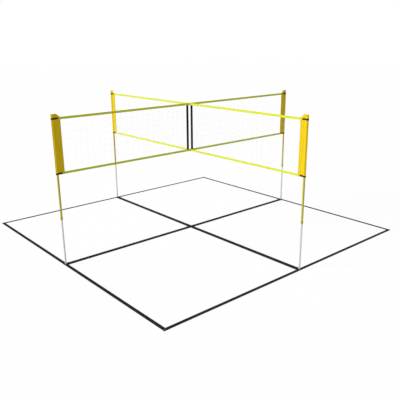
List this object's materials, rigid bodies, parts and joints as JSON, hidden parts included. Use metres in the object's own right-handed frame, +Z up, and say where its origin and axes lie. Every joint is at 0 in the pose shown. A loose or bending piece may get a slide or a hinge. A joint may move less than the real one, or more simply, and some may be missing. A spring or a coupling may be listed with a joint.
{
  "type": "four-way volleyball net",
  "caption": "Four-way volleyball net: two nets crossing over a square court of webbing, on telescopic poles with twist locks and cloth sleeves.",
  "frame": {"origin": "on the ground at the middle of the court, under the crossing of the nets", "axes": "+Z up; the nets lie along X and along Y, so each pole stands on an axis"},
  "size_m": [5.055, 5.055, 2.29],
  "materials": {
    "court_webbing": "matte",
    "black_webbing": "matte",
    "sleeve_cloth": "satin",
    "net_band": "satin",
    "net_cord": "satin",
    "yellow_tube": "satin",
    "grey_tube": "satin",
    "spigot_metal": "satin",
    "collar_plastic": "satin",
    "black_plastic": "satin",
    "foot_rubber": "matte",
    "eyelet_metal": "satin"
  },
  "bodies": {
    "base": {"court_line_right": "court_webbing", "court_line_back": "court_webbing", "court_line_left": "court_webbing", "court_line_front": "court_webbing", "cross_line_long": "court_webbing", "cross_line_right": "court_webbing", "cross_line_left": "court_webbing", "lower_tube_right": "grey_tube", "lower_tube_back": "grey_tube", "lower_tube_left": "grey_tube", "lower_tube_front": "grey_tube", "centre_patch": "court_webbing", "corner_patches": "court_webbing", "pole_patches": "court_webbing", "corner_eyelets": "eyelet_metal", "pole_eyelets": "eyelet_metal", "feet": "foot_rubber", "guide_bushes": "black_plastic"},
    "collar_right": {"lock_collar_right": "collar_plastic"},
    "collar_back": {"lock_collar_back": "collar_plastic"},
    "collar_left": {"lock_collar_left": "collar_plastic"},
    "collar_front": {"lock_collar_front": "collar_plastic"},
    "net_frame": {"lock_sockets": "black_plastic", "middle_tube_right": "yellow_tube", "middle_tube_back": "yellow_tube", "middle_tube_left": "yellow_tube", "middle_tube_front": "yellow_tube", "top_tube_right": "yellow_tube", "top_tube_back": "yellow_tube", "top_tube_left": "yellow_tube", "top_tube_front": "yellow_tube", "spigots": "spigot_metal", "tube_caps": "black_plastic", "sleeve_right": "sleeve_cloth", "sleeve_back": "sleeve_cloth", "sleeve_left": "sleeve_cloth", "sleeve_front": "sleeve_cloth", "straps_right": "black_webbing", "straps_back": "black_webbing", "straps_left": "black_webbing", "straps_front": "black_webbing", "strap_glides": "black_plastic", "top_band_right": "net_band", "top_band_back": "net_band", "top_band_left": "net_band", "top_band_front": "net_band", "bottom_band_right": "net_band", "bottom_band_back": "net_band", "bottom_band_left": "net_band", "bottom_band_front": "net_band", "net_right": "net_cord", "net_back": "net_cord", "net_left": "net_cord", "net_front": "net_cord", "centre_tapes": "black_webbing", "top_crosspiece": "net_band", "bottom_crosspiece": "net_band"}
  },
  "joints": [
    {"name": "net_height", "type": "slide", "parent": "base", "child": "net_frame", "axis": [0, 0, 1], "range_m": [-0.24, 0.19]},
    {"name": "lock_right", "type": "hinge", "parent": "net_frame", "child": "collar_right", "pos_m": [2.5, 0, 0.74], "axis": [0, 0, 1], "range_deg": [0, 90]},
    {"name": "lock_back", "type": "hinge", "parent": "net_frame", "child": "collar_back", "pos_m": [0, 2.5, 0.74], "axis": [0, 0, 1], "range_deg": [0, 90]},
    {"name": "lock_left", "type": "hinge", "parent": "net_frame", "child": "collar_left", "pos_m": [-2.5, 0, 0.74], "axis": [0, 0, 1], "range_deg": [0, 90]},
    {"name": "lock_front", "type": "hinge", "parent": "net_frame", "child": "collar_front", "pos_m": [0, -2.5, 0.74], "axis": [0, 0, 1], "range_deg": [0, 90]}
  ]
}
